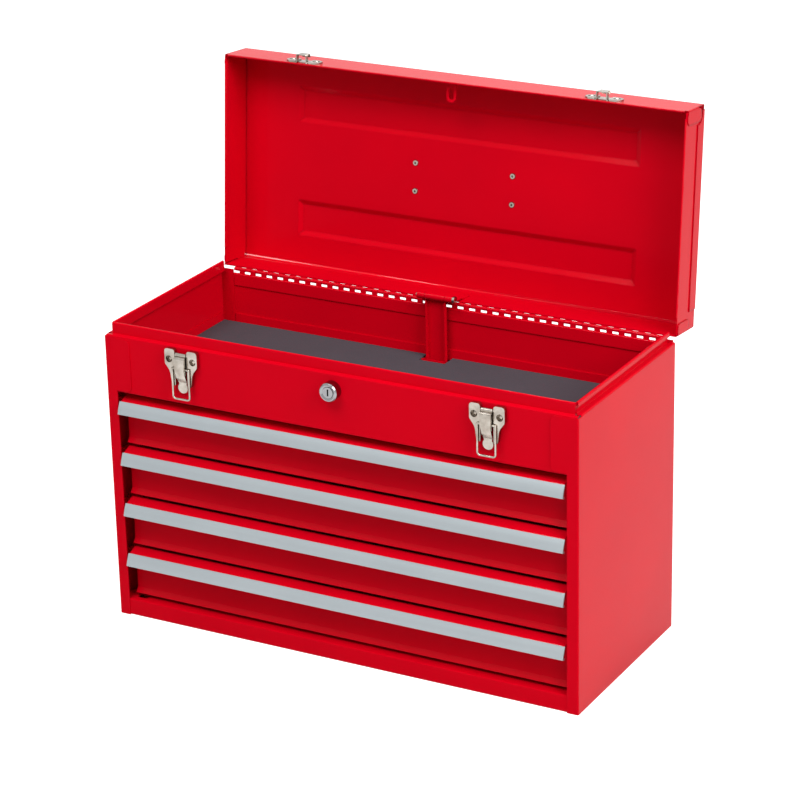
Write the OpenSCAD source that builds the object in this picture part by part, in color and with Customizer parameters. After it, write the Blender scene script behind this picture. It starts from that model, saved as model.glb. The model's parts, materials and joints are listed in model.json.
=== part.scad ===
// Portable tool box: four drawers under a tray, a hinged lid with toggle latches and a carrying
// handle, and a bar hung on the lid that drops behind the drawers and holds them shut.
// Origin: middle of the cabinet's bottom face. X to the right, Y to the back, Z up. Millimetres.
// The lid is modelled shut and then turned back about the hinge pin to the angle it stands at.

/* [Cabinet] */
// Width over the two side panels
body_w = 520; // [480:1:560]
// Depth from the front stiles to the rear panel
body_d = 221.5; // [205:0.5:245]
// Height of the shoulder around the top
body_h = 305; // [290:1:330]
// Thickness of the sheet steel
sheet_t = 1; // [0.9:0.05:1.1]
// Radius of the bends, at the middle of the sheet
bend_r = 1; // [0.9:0.05:1.2]
// Width of the front flange on each side panel
stile_w = 12; // [10:0.5:13]
// Width of the side panel's tab that laps the front panel
lap_w = 29; // [24:1:34]
// Width of the rear flange on each side panel
rear_flange_w = 16; // [12:1:20]
// Height of the front rail under the drawers
rail_h = 18; // [14:1:22]
// Depth of the rail's top flange
rail_flange = 20; // [15:1:25]
// Upturned edges of the bottom panel
bottom_edge = 10; // [6:1:14]
// Distance of the rail's slot from the left side
slot_in = 17; // [14:1:30]
// Length of the rail's slot
slot_len = 11; // [8:1:16]

/* [Rim and tray] */
// Width of the shoulder outside the side rims
shoulder_side = 7; // [6:0.25:8]
// Width of the shoulder in front of the front rim
shoulder_front = 6; // [5:0.25:8]
// Height of the rim over the shoulder
rim_h = 11.5; // [10:0.25:13]
// Length of the hem folded down from the rim
hem_len = 5; // [4:0.25:6]
// Height of the rear panel under the shoulder
rear_drop = 2.5; // [2:0.25:4]
// Depth of the flat hem on the rear panel
rear_hem = 13.1; // [9:0.1:16]
// Depth of the tray under the shoulder
tray_depth = 59; // [52:1:66]
// Height of the tray panel's upturned edges
tray_edge = 12; // [9:0.5:15]
// Depth of the front panel's bottom flange
fascia_flange = 14; // [10:0.5:16]
// Thickness of the foam mat in the tray
mat_t = 2; // [1.5:0.25:3]

/* [Drawers] */
// Space behind the drawer pans, where the lock bar hangs
rear_space = 28.5; // [28:0.5:34]
// Space from the cabinet's side to the pan's wall
pan_side_gap = 22; // [20:0.5:24]
// Height of the pan's rear and side walls
pan_h = 40.5; // [36:0.25:41]
// How far the face sits behind the stiles
face_recess = 13; // [11:0.25:15]
// Gap between the face and the stile on each side
face_gap = 2.5; // [2:0.25:4]
// Gap between one face and the next
row_gap = 3.2; // [2.5:0.1:4.5]
// Rise of the folded hood over the pull's top edge
hood_rise = 4; // [3:0.25:5]
// Height of the aluminium pull
pull_h = 12.4; // [10:0.2:13]
// How far the pull's lower edge leans forward
pull_lean = 4.8; // [3:0.2:6]
// Thickness of the aluminium pull
pull_t = 1.2; // [1:0.1:1.5]
// Height of the kicked lower edge of the face
kick_h = 6; // [4:0.25:8]
// How far the lower edge kicks forward
kick_out = 4; // [2:0.25:5]
// How far a drawer pulls out
drawer_travel = 150; // [120:5:155]

/* [Lid] */
// Angle the lid stands open
lid_angle = 94.7; // [90:0.1:96]
// Width over the lid's ends
lid_w = 519; // [479:1:560]
// Height of the lid's walls
lid_h = 43.5; // [40:0.5:52]
// How far the lid's front stands proud of the cabinet
lid_proud = 2.3; // [1.5:0.1:3]
// Gap between the shut lid and the shoulder
lid_gap = 2.5; // [2.5:0.1:4]
// Width of the top panel's flange over each end
end_flange = 15.5; // [13:0.5:18]
// Reach of the front wall's tab over each end
tab_reach = 15.5; // [12:0.5:18]
// Width of that tab
tab_h = 33.5; // [28:0.5:36]
// Gap between the tab and the top panel's flange
tab_gap = 2.6; // [1.5:0.1:3]
// Length of a raised panel pressed into the lid
bead_len = 378; // [320:2:400]
// Width of a raised panel
bead_w = 29; // [22:1:34]
// Distance between the middles of the two raised panels
bead_pitch = 121; // [110:1:130]
// Height the panels are raised
bead_rise = 3; // [2:0.25:4]

/* [Hinge] */
// Diameter of the hinge pin
pin_d = 2; // [1.8:0.1:2.2]
// Outer diameter of the knuckles
knuckle_d = 4; // [3.8:0.1:4.4]
// Knuckles on each leaf
knuckles = 37; // [30:1:40]
// Length of the hinge
hinge_len = 489; // [440:1:500]
// Thickness of the leaves
leaf_t = 0.9; // [0.8:0.05:1]
// Width of each leaf from the pin
leaf_w = 21; // [16:0.5:24]
// Depth of the window beside each knuckle
window = 3.9; // [3.4:0.1:4.5]
// Height of the pin over the shoulder
hinge_rise = 1.4; // [1.2:0.1:2]
// Running clearance of pins in their holes, on the radius
run_gap = 0.05; // [0.04:0.01:0.08]

/* [Lock bar] */
// Width of the bar
bar_w = 22.4; // [18:0.2:24]
// Depth of the bar's flanges
bar_depth = 5.5; // [5:0.25:6]
// Outer diameter of the bar's knuckles
bar_knuckle_d = 7; // [6:0.25:7]
// Diameter of the bar's pivot pin
bar_pin_d = 4; // [3:0.25:4]
// Height of the shut bar's pivot under the hinge pin
bar_drop = 12.2; // [12:0.1:12.6]
// Distance of the shut bar's pivot in front of the hinge pin
bar_ahead = 7.8; // [7.6:0.1:8]
// Width of the bracket that carries the bar
bracket_w = 40; // [34:1:46]
// Length of the bar's hooks
hook_w = 10; // [8:0.5:12]

/* [Latches and lock] */
// Distance of each latch from the cabinet's side
latch_in = 92; // [80:1:120]
// Height of the latch rivets under the shoulder
latch_rivet_drop = 12; // [11.5:0.25:13]
// Distance between the rivets of a latch
rivet_pitch = 27; // [26:0.5:28]
// Width of a latch plate over its ears
latch_w = 37; // [36:0.5:40]
// Depth of a latch plate
latch_d = 4.5; // [4:0.1:4.8]
// Thickness of the latch sheet
latch_t = 0.9; // [0.8:0.05:1]
// Width of the latch lever
lever_w = 11.8; // [11:0.1:12.4]
// Diameter of the lever's round tip
tip_d = 11; // [10:0.25:12]
// Length of the wire bail from its eyes
bail_len = 31.6; // [30:0.2:33]
// Width of the wire bail
bail_w = 21; // [20:0.25:22]
// Diameter of the bail wire
wire_d = 2; // [1.8:0.1:2.1]
// Width of the hook on the lid
hook_plate_w = 11; // [9:0.5:13]
// Height of the hook over the lid
hook_rise = 9; // [8:0.25:10]
// Height of the lock under the shoulder
lock_drop = 16; // [14:0.5:20]
// Diameter of the lock's head
lock_d = 19; // [16:0.5:21]
// How far the lock's head stands out
lock_proud = 10.5; // [8:0.5:12]

/* [Handle] */
// Distance between the handle's brackets
handle_span = 110.6; // [104:0.2:130]
// Distance between the rivets of one bracket
handle_rivets_pitch = 29.5; // [26:0.5:32]
// Diameter of the handle's wire
handle_wire = 6; // [5:0.25:7]
// Diameter of the grip
grip_d = 18; // [15:0.5:20]
// Length of the grip
grip_len = 108; // [90:1:112]
// Reach of the handle from its pivot
handle_reach = 38; // [34:0.5:44]

/* [Hidden] */

paint = "#c8141c";
zinc = "#c9c8c4";
$fn = 48;

// Cabinet planes
half_w = body_w / 2;
side_in = half_w - sheet_t;
front_y = -body_d / 2;
back_y = body_d / 2;
bend_out = bend_r + sheet_t / 2;
hem_pitch = 2 * bend_r;
hem_w = hem_pitch + sheet_t;
deck_z = body_h - tray_depth;
rim_top = body_h + rim_h;
rim_x = half_w - shoulder_side;
rim_y = front_y + shoulder_front + sheet_t / 2;
rear_top = body_h - rear_drop;
rear_in = back_y - 2 * sheet_t;
rear_clear_x = half_w - rear_flange_w - 0.5;
corner_y = front_y + shoulder_front + 1.3;
sheet_fit = 0.7;

// Drawer rows, counted from the top
row_pitch = (deck_z - rail_h - 2 * row_gap) / 4;
face_h = row_pitch - row_gap;
face_x = half_w - stile_w - face_gap;
face_y = front_y + face_recess;
pan_x = half_w - pan_side_gap;
pan_y0 = face_y + sheet_t;
pan_y1 = back_y - rear_space;
pan_floor = 1.5;
rail_reach = 9;
rail_lip = 3.5;
runner_x = rail_reach + pan_x - 3.5;
runner_room = 2.2;
runner_y0 = front_y + 16;
runner_y1 = back_y - rear_flange_w;
tab_w = 16;
tab_rise = 22;
tab_reach_back = 14.5;
tab_lip = 6.5;
hook_over = 8.5;

// Lid planes, shut
lid_x = lid_w / 2;
lid_bottom = body_h + lid_gap;
lid_top = lid_bottom + lid_h;
lid_front = front_y - lid_proud;
lid_mid_y = (lid_front + back_y) / 2;
lid_end_x = lid_x - sheet_t;

// Hinge and lock bar, shut
pin_y = back_y + knuckle_d / 2;
pin_z = body_h + hinge_rise;
slot_pitch = hinge_len / (2 * knuckles);
knuckle_gap = 0.3;
bar_y = pin_y - bar_ahead;
bar_z = pin_z - bar_drop;
bar_r = norm([bar_ahead, bar_drop]);
bar_start = atan2(-bar_drop, -bar_ahead);
bar_open_y = pin_y + bar_r * cos(bar_start - lid_angle);
bar_open_z = pin_z + bar_r * sin(bar_start - lid_angle);
bar_web_y = bar_knuckle_d / 2 - sheet_t / 2;
bar_slot_y = pin_y - bar_r + bar_web_y - bar_depth - 1.3;
bar_slot_x = bar_w / 2 + 1.8;
ear_w = (bracket_w - bar_w) / 2 - knuckle_gap;

// Latches and handle
latch_z = body_h - latch_rivet_drop;
latch_x = half_w - latch_in;
channel = lever_w / 2 + 1.1;
lever_y = front_y - 3.2;
lever_z = latch_z + 5.2;
lock_z = body_h - lock_drop;
lock_face_y = front_y + sheet_t;
bail_y = front_y - latch_d - wire_d / 2 - 0.3;
bail_z = latch_z - 8.4;
latch_leg = 27;
tip_drop = 29.2;
catch_z = lid_bottom + 9;
handle_pivot = lid_top + 8.5;
handle_arm = handle_span / 2 + 11.7;
handle_dy = lid_mid_y - pin_y;
handle_dz = handle_pivot - pin_z;
handle_y = pin_y + handle_dy * cos(lid_angle) + handle_dz * sin(lid_angle);
handle_z = pin_z - handle_dy * sin(lid_angle) + handle_dz * cos(lid_angle);

// Row values
function row_bottom(row) = deck_z - row * row_pitch - row_gap + 0.2;
function row_top(row) = row_bottom(row) + face_h - hood_rise;
function rail_z(row) = row_bottom(row) + pan_floor + pan_h;
function tab_z(row) = row_bottom(row) + tab_rise;

// ---- shared shapes ----
module box(x, y, z) {
  translate([x[0], y[0], z[0]])
    cube([x[1] - x[0], y[1] - y[0], z[1] - z[0]]);
}

// A profile drawn in Y and Z, carried along X
module along_x(x0, x1) {
  translate([x0, 0, 0])
    rotate([90, 0, 90])
      linear_extrude(x1 - x0)
        children();
}

// A profile drawn in X and Z, carried along Y
module along_y(y0, y1) {
  translate([0, y1, 0])
    rotate([90, 0, 0])
      linear_extrude(y1 - y0)
        children();
}

module along_z(z0, z1) {
  translate([0, 0, z0])
    linear_extrude(z1 - z0)
      children();
}

module rect(a, b) {
  translate(a)
    square(b - a);
}

// A rectangle with round corners
module round_rect(a, b, r) {
  rect(a + [r, 0], b - [r, 0]);
  rect(a + [0, r], b - [0, r]);
  for (p = [a + [r, r], b - [r, r], [a[0] + r, b[1] - r], [b[0] - r, a[1] + r]])
    translate(p)
      circle(r);
}

// Direction of a run, and the turn at a point
function heading(a, b) = atan2(b[1] - a[1], b[0] - a[0]);
function wrap(angle) = angle > 180 ? angle - 360 : angle < -180 ? angle + 360 : angle;
function turn(p, i) = wrap(heading(p[i], p[i + 1]) - heading(p[i - 1], p[i]));

// Section of a folded sheet: flat runs between the points, joined by round bends
module folded(points, t = sheet_t, r = bend_r) {
  n = len(points);
  left = [for (i = [0 : n - 1]) each flank(points, i, t / 2, r)];
  right = [for (i = [n - 1 : -1 : 0]) each flank(points, i, -t / 2, r, true)];
  polygon(concat(left, right));
}

// The sheet's edge beside one point, off to the left of the way (or to the right where off is below 0)
function flank(p, i, off, r, back = false) =
  i == 0 ? [p[0] + off * square_to(heading(p[0], p[1]))] :
  i == len(p) - 1 ? [p[i] + off * square_to(heading(p[i - 1], p[i]))] :
  let (way = heading(p[i - 1], p[i]), angle = turn(p, i), side = sign(angle),
    middle = p[i] - r * tan(abs(angle) / 2) * [cos(way), sin(way)] + side * r * square_to(way),
    steps = ceil(abs(angle) / 22.5), order = back ? [steps : -1 : 0] : [0 : steps])
  [for (k = order) middle - (side * r - off) * square_to(way + angle * k / steps)];

function square_to(way) = [-sin(way), cos(way)];

// Closed outline with every edge moved in by g
function inset(p, g) = let (n = len(p)) [for (i = [0 : n - 1])
  let (a = heading(p[(i + n - 1) % n], p[i]), b = heading(p[i], p[(i + 1) % n]))
  p[i] + g * (square_to(a) + square_to(b)) / (1 + cos(b - a))];

// Closed outline with the round corners r, one radius for each point
function rounded(p, r) = let (n = len(p)) [for (i = [0 : n - 1])
  let (a = heading(p[(i + n - 1) % n], p[i]), angle = wrap(heading(p[i], p[(i + 1) % n]) - a), side = sign(angle),
    middle = p[i] - r[i] * tan(abs(angle) / 2) * [cos(a), sin(a)] + side * r[i] * square_to(a),
    steps = ceil(abs(angle) / 30))
  for (k = [0 : steps]) middle - side * r[i] * square_to(a + angle * k / steps)];

module pin_x(x0, x1, y, z, d) {
  translate([x0, y, z])
    rotate([0, 90, 0])
      cylinder(h = x1 - x0, d = d);
}

module pin_y(x, y0, y1, z, d) {
  translate([x, y1, z])
    rotate([90, 0, 0])
      cylinder(h = y1 - y0, d = d);
}

// Both sides of the middle plane
module both() {
  children();
  mirror([1, 0, 0])
    children();
}

// The shut lid turned back to where it stands
module opened() {
  translate([0, pin_y, pin_z])
    rotate([-lid_angle, 0, 0])
      translate([0, -pin_y, -pin_z])
        children();
}

// ---- cabinet ----
module side_panel() {
  flange_y = back_y - 1.5 * sheet_t;
  wall = half_w - sheet_t / 2;
  shoulder_z = body_h - sheet_t / 2;
  hem_z = rim_top - sheet_t / 2;
  difference() {
    union() {
      along_z(0, body_h - bend_out)
        folded([[half_w - stile_w, front_y + sheet_t / 2], [wall, front_y + sheet_t / 2],
          [wall, flange_y], [half_w - rear_flange_w, flange_y]]);
      along_y(front_y, front_y + sheet_t)
        round_rect([half_w - lap_w, deck_z + sheet_t], [half_w - stile_w / 2, body_h - 2], 6);
      along_y(corner_y, rear_in)
        folded([[wall, body_h - 5], [wall, shoulder_z], [rim_x + bend_out, shoulder_z]]);
      along_y(rim_y + hem_w, back_y - shoulder_front)
        folded([[wall, body_h - 5], [wall, shoulder_z], [rim_x, shoulder_z], [rim_x, hem_z],
          [rim_x + hem_pitch, hem_z], [rim_x + hem_pitch, rim_top - hem_len]]);
      box([half_w - rear_flange_w, half_w - 2.5], [rear_in, rear_in + sheet_t], [body_h - 5, pin_z + 0.3]);
    }
    translate([half_w - 2, corner_y, body_h - 3])
      cylinder(h = 4, r = 1.1);
  }
}

module front_panel() {
  face = front_y + 1.5 * sheet_t;
  shoulder_z = body_h - sheet_t / 2;
  hem_z = rim_top - sheet_t / 2;
  reach = side_in - sheet_fit;
  rim_reach = rim_x + 0.9;
  color(paint)
    difference() {
      union() {
        along_x(-reach, reach)
          folded([[front_y + fascia_flange + sheet_t, deck_z - sheet_t / 2], [face, deck_z - sheet_t / 2],
            [face, shoulder_z], [rim_y - bend_out, shoulder_z]]);
        along_x(-rim_reach, rim_reach)
          folded([[face, body_h - 5], [face, shoulder_z], [rim_y, shoulder_z], [rim_y, hem_z],
            [rim_y + hem_pitch, hem_z], [rim_y + hem_pitch, rim_top - hem_len]]);
      }
      pin_y(0, front_y, front_y + 3 * sheet_t, lock_z, 15.8);
      both()
        translate([half_w - 2, corner_y - 0.3, body_h - 3])
          cylinder(h = 4, r = 1.1);
      for (side = [-1, 1], end = [-1, 1])
        pin_y(side * latch_x + end * rivet_pitch / 2, front_y, front_y + 3 * sheet_t, latch_z, 3.4);
    }
}

module bottom_panel() {
  face = front_y + 1.5 * sheet_t;
  edge = side_in - sheet_t / 2;
  color(paint) {
    difference() {
      along_x(-edge + sheet_t / 2, edge - sheet_t / 2)
        folded([[face + rail_flange, rail_h - sheet_t / 2], [face, rail_h - sheet_t / 2], [face, sheet_t / 2],
          [face + rail_flange, sheet_t / 2]]);
      box([slot_in - half_w, slot_in + slot_len - half_w], [front_y + 8, front_y + 15], [rail_h - 3, rail_h + 1]);
    }
    along_x(-rear_clear_x, rear_clear_x)
      folded([[face + rail_flange, sheet_t / 2], [back_y - 1.5 * sheet_t, sheet_t / 2],
        [back_y - 1.5 * sheet_t, bottom_edge]]);
    along_y(front_y + 3 * sheet_t, back_y - 4 * sheet_t)
      folded([[-edge, bottom_edge], [-edge, sheet_t / 2], [edge, sheet_t / 2], [edge, bottom_edge]]);
  }
}

module rear_panel() {
  hem_bottom = rear_top - rear_hem;
  color(paint) {
    along_x(-rear_clear_x, rear_clear_x) {
      rect([back_y - sheet_t, 0], [back_y, rear_top - sheet_t]);
      rect([rear_in, hem_bottom], [back_y, rear_top - sheet_t]);
      translate([back_y - sheet_t, rear_top - sheet_t])
        circle(sheet_t);
    }
    both()
      box([rear_clear_x, side_in], [back_y - sheet_t, back_y], [0, rear_top]);
  }
}

module tray_panel() {
  edge = side_in - sheet_t / 2;
  floor_z = deck_z + sheet_t / 2;
  front = front_y + 2.5 * sheet_t;
  rear = back_y - 1.5 * sheet_t;
  color(paint)
    difference() {
      union() {
        along_x(-side_in + sheet_t, side_in - sheet_t)
          folded([[front, deck_z + tray_edge], [front, floor_z], [front + 8, floor_z]]);
        along_x(-rear_clear_x, rear_clear_x)
          folded([[front + 7, floor_z], [rear, floor_z], [rear, deck_z + tray_edge]]);
        along_y(front + 1.5 * sheet_t, rear - 3 * sheet_t)
          folded([[-edge, deck_z + tray_edge], [-edge, floor_z], [edge, floor_z], [edge, deck_z + tray_edge]]);
        box([-bar_slot_x, bar_slot_x], [bar_slot_y - 2 * sheet_t, bar_slot_y - sheet_t], [deck_z, deck_z + 4]);
      }
      box([-bar_slot_x, bar_slot_x], [bar_slot_y, rear_in], [deck_z - 1, deck_z + tray_edge + 1]);
    }
}

module tray_mat() {
  mat_x = side_in - sheet_t - 0.5;
  color("#3a3b3d")
    difference() {
      box([-mat_x, mat_x], [front_y + 3 * sheet_t + 0.5, back_y - 2.5 * sheet_t],
        [deck_z + sheet_t, deck_z + sheet_t + mat_t]);
      box([-bar_slot_x - 2, bar_slot_x + 2], [bar_slot_y - 4, back_y], [deck_z, deck_z + 10]);
    }
}

// Channel open to the pan: its inner lip carries the pan's flange
module runner(row) {
  z = rail_z(row);
  outer = side_in - sheet_t / 2;
  top = z + sheet_t + runner_room - sheet_t / 2;
  low = z - rail_lip - 1.5;
  color(paint)
    along_y(runner_y0, runner_y1)
      folded([[runner_x, top], [outer, top], [outer, low], [runner_x - 1, low], [runner_x - 1, z - 0.1]]);
}

// ---- drawers ----
module drawer_front(row) {
  z0 = row_bottom(row);
  zt = row_top(row);
  mid = face_y + sheet_t / 2;
  slope = norm([pull_lean, pull_h]);
  down = [-pull_lean, -pull_h] / slope;
  back = [pull_h, -pull_lean] / slope;
  lip = [front_y, zt] + (pull_t + 0.6 * sheet_t) * back;
  color(paint)
    along_x(-face_x, face_x)
      folded([[mid - kick_out, z0 + 0.5], [mid, z0 + kick_h], [mid, zt + hood_rise - sheet_t / 2],
        lip, lip + (slope - 1) * down]);
}

module drawer_pan(row) {
  z0 = row_bottom(row) + pan_floor;
  zf = rail_z(row);
  flange_x = pan_x + rail_reach - sheet_t / 2;
  wall = pan_x - sheet_t / 2;
  top = zf + sheet_t / 2;
  color(paint) {
    along_y(pan_y0 + 2.5, pan_y1 - 2.5)
      folded([[-flange_x, zf - rail_lip], [-flange_x, top], [-wall, top], [-wall, z0 + sheet_t / 2],
        [wall, z0 + sheet_t / 2], [wall, top], [flange_x, top], [flange_x, zf - rail_lip]]);
    along_x(-pan_x + bend_out, pan_x - bend_out)
      folded([[pan_y0 + sheet_t / 2, zf - 6], [pan_y0 + sheet_t / 2, z0 + sheet_t / 2],
        [pan_y1 - sheet_t / 2, z0 + sheet_t / 2], [pan_y1 - sheet_t / 2, zf]]);
    both()
      along_z(z0 + bend_out, zf - 1)
        folded([[pan_x - 5, pan_y0 + sheet_t / 2], [wall, pan_y0 + sheet_t / 2],
          [wall, pan_y1 - sheet_t / 2], [pan_x - 5, pan_y1 - sheet_t / 2]]);
    along_x(-tab_w / 2, tab_w / 2)
      folded([[pan_y1 + sheet_t / 2, tab_z(row) - 12], [pan_y1 + sheet_t / 2, tab_z(row) - sheet_t / 2],
        [pan_y1 + tab_reach_back - sheet_t / 2, tab_z(row) - sheet_t / 2],
        [pan_y1 + tab_reach_back - sheet_t / 2, tab_z(row) + tab_lip]]);
  }
}

// Crowned strip with a lower edge curled under the hood's flange
module drawer_pull(row) {
  slope = norm([pull_lean, pull_h]);
  lean = atan2(-pull_h, -pull_lean);
  crown = 0.5;
  crown_r = (slope * slope / 4 + crown * crown) / (2 * crown);
  color("#aab4bd")
    along_x(-face_x - 0.5, face_x + 0.5)
      translate([front_y, row_top(row)])
        rotate(lean) {
          intersection() {
            translate([slope / 2, crown_r - crown])
              circle(crown_r, $fn = 180);
            rect([0, -crown], [slope, pull_t]);
          }
          rect([slope - 0.9, 0], [slope, pull_t + sheet_t + 1.2]);
          rect([slope - 2.2, pull_t + sheet_t + 0.4], [slope, pull_t + sheet_t + 1.2]);
        }
}

// ---- hinge ----
// First and last x of one knuckle; even places belong to the upper leaf
function knuckle_x(place) = -hinge_len / 2 + place * slot_pitch + knuckle_gap / 2;

module knuckle_section(y, z, d, hole, t, way) {
  difference() {
    union() {
      translate([y, z])
        circle(d = d);
      rect([y - d / 2, way > 0 ? z : z - window - 0.5], [y - d / 2 + t, way > 0 ? z + window + 0.5 : z]);
    }
    translate([y, z])
      circle(hole);
  }
}

module hinge_leaf(first, way) {
  hole = pin_d / 2 + run_gap;
  near = pin_z + way * window;
  far = pin_z + way * (leaf_w - (way > 0 ? 1 : 0));
  box([-hinge_len / 2, hinge_len / 2], [back_y, back_y + leaf_t], [min(near, far), max(near, far)]);
  for (place = [first : 2 : 2 * knuckles - 1])
    along_x(knuckle_x(place), knuckle_x(place) + slot_pitch - knuckle_gap)
      knuckle_section(pin_y, pin_z, knuckle_d, hole, leaf_t, way);
}

module hinge_leaf_lower() {
  color(paint)
    hinge_leaf(1, -1);
}

module hinge_leaf_upper() {
  color(paint)
    opened()
      hinge_leaf(0, 1);
}

module hinge_pin() {
  color(zinc)
    pin_x(-hinge_len / 2, hinge_len / 2, pin_y, pin_z, pin_d);
}

// ---- lid ----
// Raised panel pressed out of the top: a solid frustum, grown by the sheet for its outer skin
module bead(y, z, half_x, half_y, rise) {
  run = 1.7 * rise;
  intersection() {
    along_x(-half_x - run, half_x + run)
      polygon([[y - half_y - run, z], [y + half_y + run, z], [y + half_y, z + rise], [y - half_y, z + rise]]);
    along_y(y - half_y - run, y + half_y + run)
      polygon([[-half_x - run, z], [half_x + run, z], [half_x, z + rise], [-half_x, z + rise]]);
  }
}

module lid_shell() {
  front = lid_front + sheet_t / 2;
  rear = back_y - sheet_t / 2;
  top = lid_top - sheet_t / 2;
  skin = lid_x - sheet_t / 2;
  reach = lid_end_x - 0.3;
  hem_x = lid_end_x - 3 * sheet_t;
  tab_low = lid_bottom + 2;
  tab_top = tab_low + tab_h;
  tab_r = (tab_reach - bend_out) / 2 - 0.5;
  color(paint)
    opened()
      difference() {
        union() {
          along_x(-reach, reach)
            folded([[front, lid_bottom + hem_len], [front, top], [rear, top], [rear, lid_bottom]]);
          along_x(-hem_x, hem_x) {
            rect([lid_front, lid_bottom + sheet_t], [lid_front + 2 * sheet_t, lid_bottom + hem_len + sheet_t]);
            translate([lid_front + sheet_t, lid_bottom + sheet_t])
              circle(sheet_t);
          }
          along_y(lid_front + 5, back_y - tab_reach - tab_gap - 1)
            folded([[-skin, lid_top - end_flange], [-skin, top], [skin, top], [skin, lid_top - end_flange]]);
          both() {
            along_z(tab_low + 1, tab_top - 7)
              folded([[reach - 5, front], [skin, front], [skin, front + 8]]);
            along_x(skin - sheet_t / 2, skin + sheet_t / 2)
              round_rect([lid_front + bend_out, tab_low], [lid_front + tab_reach, tab_top], tab_r);
            along_z(tab_low + 1, tab_top - 8)
              folded([[reach - 5, rear], [skin, rear], [skin, rear - 6]]);
            along_x(skin - sheet_t / 2, skin + sheet_t / 2)
              round_rect([back_y - tab_reach + 3, tab_low], [back_y - bend_out, tab_top - 7], 4.5);
          }
          for (side = [-1, 1])
            bead(lid_mid_y + side * bead_pitch / 2, lid_top - sheet_t, bead_len / 2, bead_w / 2,
              bead_rise + sheet_t);
        }
        both()
          along_x(skin - sheet_t / 2 - 0.2, skin + sheet_t)
            difference() {
              round_rect([lid_front + bend_out - 2, tab_low + 10], [lid_front + tab_reach + tab_gap, tab_top + tab_gap],
                tab_r + tab_gap);
              round_rect([lid_front + bend_out, tab_low], [lid_front + tab_reach, tab_top], tab_r);
              rect([lid_front - 1, tab_low], [lid_front + 8, tab_top - 7]);
            }
        for (side = [-1, 1])
          bead(lid_mid_y + side * bead_pitch / 2, lid_top - 2 * sheet_t, bead_len / 2 - 0.4, bead_w / 2 - 0.4,
            bead_rise + sheet_t);
        for (side = [-1, 1], end = [-1, 1])
          translate([side * handle_span / 2, lid_mid_y + end * handle_rivets_pitch / 2, lid_top - 3])
            cylinder(h = 5, d = 4.3);
        for (side = [-1, 1], end = [-1, 1])
          pin_y(side * latch_x + end * rivet_pitch / 2, lid_front - 1, lid_front + 5, catch_z, 3.5);
      }
}

module lid_end() {
  y0 = lid_front + bend_out + 0.1;
  y1 = back_y - bend_out - 0.1;
  z1 = lid_top - bend_out - 0.1;
  front_r = 17;
  rear_r = 4;
  along_x(lid_end_x - sheet_t, lid_end_x) {
    rect([y0, lid_bottom + sheet_t], [y1, z1 - front_r]);
    rect([y0 + front_r, z1 - front_r - 1], [y1 - rear_r, z1]);
    rect([y1 - rear_r - 1, z1 - front_r - 1], [y1, z1 - rear_r]);
    translate([y0 + front_r, z1 - front_r])
      circle(front_r);
    translate([y1 - rear_r, z1 - rear_r])
      circle(rear_r);
  }
  along_y(y0 + 2 * hem_w, y1 - tab_reach - 2) {
    rect([lid_end_x - 2 * sheet_t, lid_bottom + sheet_t], [lid_end_x, lid_bottom + hem_len]);
    translate([lid_end_x - sheet_t, lid_bottom + sheet_t])
      circle(sheet_t);
  }
}

// Tongue with a long slot behind the lid's front wall
module lid_strike() {
  y0 = lid_front + sheet_t;
  reach = 22;
  z = rim_top + 1.5;
  strike_w = 11;
  color(paint)
    opened() {
      difference() {
        union() {
          box([-strike_w / 2, strike_w / 2], [y0, y0 + reach - strike_w / 2], [z, z + 1.5]);
          translate([0, y0 + reach - strike_w / 2, z])
            cylinder(h = 1.5, d = strike_w);
        }
        along_z(z - 1, z + 3)
          round_rect([-2.8, y0 + 6.5], [2.8, y0 + 18.9], 2.7);
      }
      box([-strike_w / 2, strike_w / 2], [y0, y0 + 1.5], [z, z + 12]);
    }
}

// ---- lock bar ----
module bar_bracket() {
  plate = bar_y + bar_web_y;
  seat = back_y - 1.5 * sheet_t;
  hole = bar_pin_d / 2 + run_gap;
  color(paint)
    opened()
      difference() {
        union() {
          along_x(-bracket_w / 2, bracket_w / 2)
            folded([[plate, bar_z], [plate, lid_bottom + 6], [seat, lid_bottom + 10], [seat, lid_bottom + 24]]);
          both()
            pin_x(bracket_w / 2 - ear_w, bracket_w / 2, bar_y, bar_z, bar_knuckle_d);
        }
        box([-bracket_w / 2 + ear_w, bracket_w / 2 - ear_w], [bar_y - 10, back_y + 1],
          [bar_z - 10, bar_z + bar_knuckle_d / 2 + 1.2]);
        pin_x(-bracket_w, bracket_w, bar_y, bar_z, 2 * hole);
      }
}

module bar_pin() {
  end = bracket_w / 2 + 1.5;
  color(zinc)
    opened() {
      pin_x(-end, end, bar_y, bar_z, bar_pin_d);
      pin_x(bracket_w / 2 + 0.1, bracket_w / 2 + 2.6, bar_y, bar_z, bar_pin_d + 3.2);
    }
}

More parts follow.
